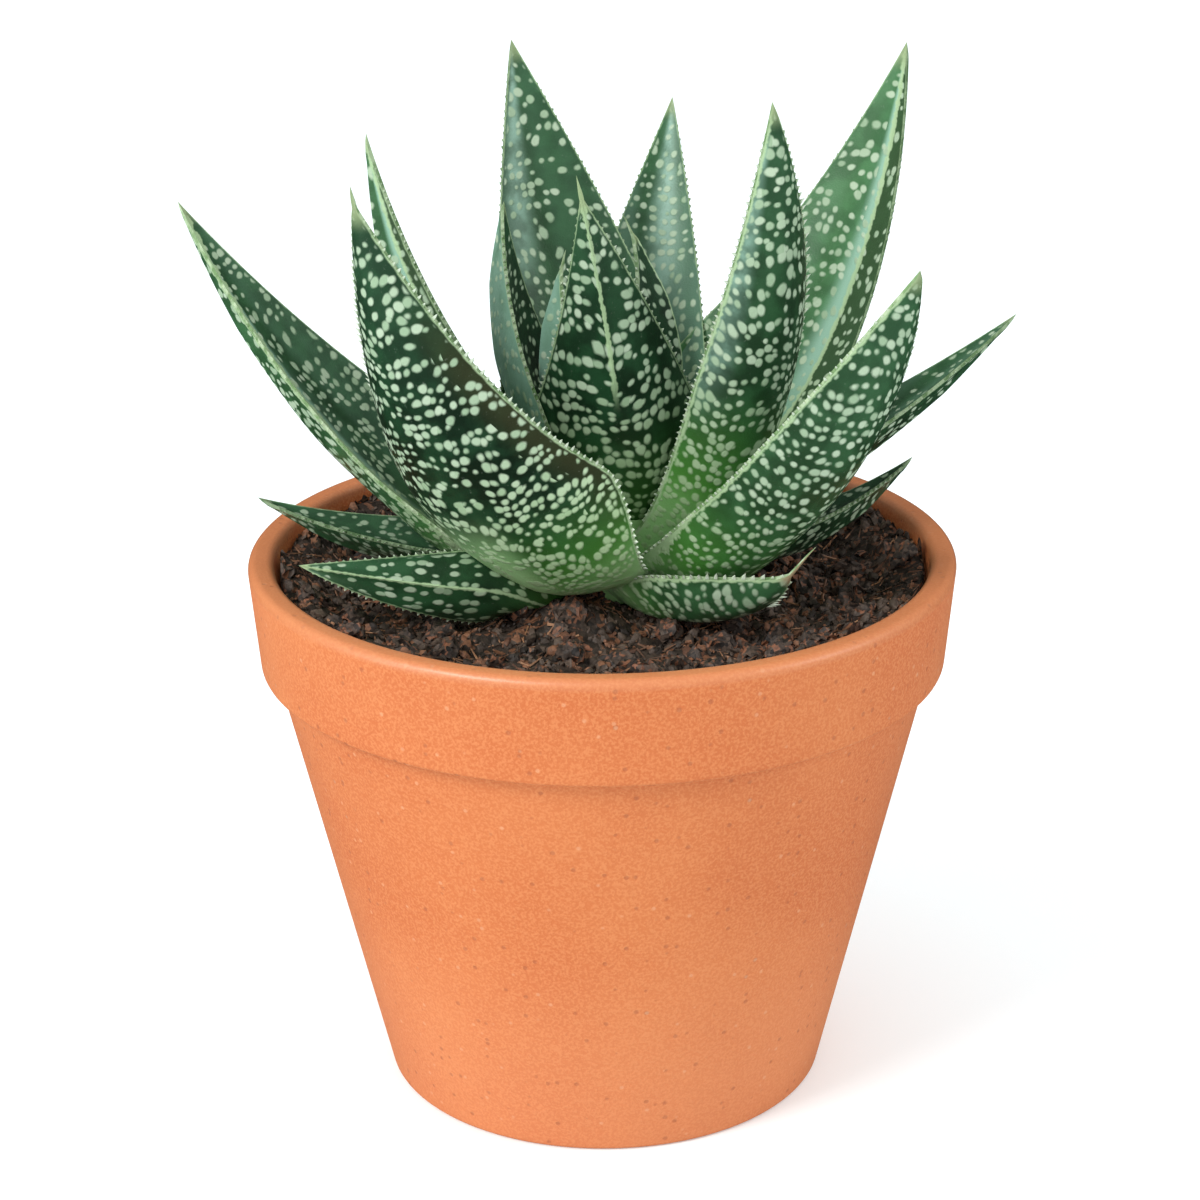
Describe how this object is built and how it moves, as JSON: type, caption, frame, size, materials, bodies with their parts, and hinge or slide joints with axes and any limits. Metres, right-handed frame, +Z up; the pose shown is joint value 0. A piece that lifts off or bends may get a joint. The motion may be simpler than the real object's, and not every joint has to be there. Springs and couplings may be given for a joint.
{
  "type": "potted gasteria",
  "caption": "Potted gasteria: a rosette of thick, spotted, keeled leaves with toothed edges, growing on a short stem in soil in a terracotta pot with a banded rim.",
  "frame": {"origin": "centre of the pot's base, on the surface that the pot stands on", "axes": "+Z up along the pot's axis; -Y towards the viewer of the picture; +X to the viewer's right"},
  "size_m": [0.152, 0.13, 0.191],
  "materials": {
    "terracotta": "matte",
    "soil": "matte",
    "stem": "satin",
    "leaf": "satin"
  },
  "bodies": {
    "root": {"pot": "terracotta", "soil": "soil", "stem": "stem", "leaf_centre": "leaf", "leaf_young_right": "leaf", "leaf_young_left": "leaf", "leaf_bud": "leaf", "leaf_inner_left": "leaf", "leaf_inner_right": "leaf", "leaf_inner_front_left": "leaf", "leaf_tall_back": "leaf", "leaf_back_right": "leaf", "leaf_tall_right": "leaf", "leaf_front_left": "leaf", "leaf_front_right": "leaf", "leaf_left": "leaf", "leaf_right": "leaf", "leaf_low_back_1": "leaf", "leaf_low_back_2": "leaf", "leaf_low_back_3": "leaf", "leaf_low_back_4": "leaf", "leaf_low_left": "leaf", "leaf_low_right": "leaf", "leaf_low_front_left": "leaf", "leaf_low_front_right": "leaf"}
  },
  "joints": []
}
